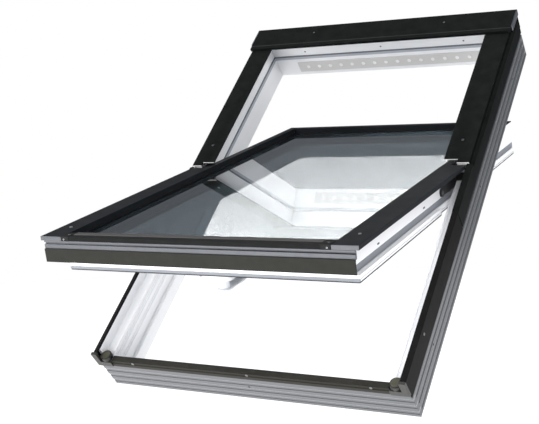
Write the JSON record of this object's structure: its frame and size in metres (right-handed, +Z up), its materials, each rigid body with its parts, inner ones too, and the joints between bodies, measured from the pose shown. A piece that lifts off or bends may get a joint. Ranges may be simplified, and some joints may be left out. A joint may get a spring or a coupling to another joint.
{
  "type": "roof skylight",
  "caption": "Centre-pivot roof skylight: ribbed frame with covers and hood, a glazed sash that turns about its middle, a handle and a latch.",
  "frame": {"origin": "middle of the frame's room-side face, on the frame's centre line", "axes": "+X to the right seen from outside, +Z up, -Y the way the roof faces; the frame leans back at the roof's pitch of 45 degrees"},
  "size_m": [0.7838, 1.1259, 0.9179],
  "materials": {
    "frame_profile": "satin white, with a grey outer face",
    "sash_profile": "satin white",
    "grey_seal": "matt",
    "black_rubber": "matt",
    "bright_metal": "satin",
    "hinge_black": "satin",
    "pale_trim": "satin",
    "black_plastic": "satin",
    "glass": "clear",
    "brown_grey_cladding": "satin powder coat",
    "dark_cladding": "satin powder coat",
    "handle_white": "satin"
  },
  "bodies": {
    "frame": {"frame_left_jamb": "frame_profile", "frame_right_jamb": "frame_profile", "frame_head": "frame_profile", "frame_sill": "frame_profile", "upper_seal": "grey_seal", "vent_strip": "bright_metal", "hood": "dark_cladding", "hood_end_cap_left": "pale_trim", "hood_end_cap_right": "pale_trim", "upper_cover_left": "dark_cladding", "upper_cover_right": "dark_cladding", "cover_end_trim_left": "pale_trim", "cover_end_trim_right": "pale_trim", "side_cladding_upper_left": "dark_cladding", "side_cladding_upper_right": "dark_cladding", "side_cladding_lower_left": "brown_grey_cladding", "side_cladding_lower_right": "brown_grey_cladding", "sill_cladding": "brown_grey_cladding", "sill_end_block_left": "black_plastic", "sill_end_block_right": "black_plastic", "corner_plug_left": "black_rubber", "corner_plug_right": "black_rubber", "hinge_frame_plate_left": "hinge_black", "hinge_frame_plate_right": "hinge_black", "lock_keep": "bright_metal", "frame_screws": "bright_metal"},
    "sash": {"sash_left_stile": "sash_profile", "sash_right_stile": "sash_profile", "sash_bottom_rail": "sash_profile", "sash_top_rail": "sash_profile", "sash_seal": "black_rubber", "outer_pane": "glass", "pane_spacer": "bright_metal", "inner_pane": "glass", "bedding_gasket": "black_rubber", "glazing_gasket": "black_rubber", "sash_cover_left": "dark_cladding", "sash_cover_right": "dark_cladding", "sash_cover_cap_left": "pale_trim", "sash_cover_cap_right": "pale_trim", "sash_upper_cladding_left": "dark_cladding", "sash_upper_cladding_right": "dark_cladding", "sash_top_cladding": "dark_cladding", "sash_bottom_trim": "brown_grey_cladding", "sash_bottom_band": "pale_trim", "sash_skirt": "brown_grey_cladding", "hinge_sash_plate_left": "hinge_black", "hinge_sash_plate_right": "hinge_black", "sash_screws": "bright_metal", "handle_base": "handle_white"},
    "handle": {"handle_lever": "handle_white"},
    "latch": {"latch_bolt": "bright_metal"}
  },
  "joints": [
    {"name": "sash_pivot", "type": "hinge", "parent": "frame", "child": "sash", "pos_m": [0, -0.06081, 0.11597], "axis": [1, 0, 0], "range_deg": [-128, 32]},
    {"name": "handle_turn", "type": "hinge", "parent": "sash", "child": "handle", "pos_m": [0.018, -0.57062, -0.0941], "axis": [0, -0.225, 0.9744], "range_deg": [0, 90]},
    {"name": "latch_slide", "type": "slide", "parent": "sash", "child": "latch", "axis": [0, -0.9744, -0.225], "range_m": [0, 0.012]}
  ],
  "couplings": [
    {"joint": "latch_slide", "follows": "handle_turn", "m_per_rad": 0.00763}
  ]
}
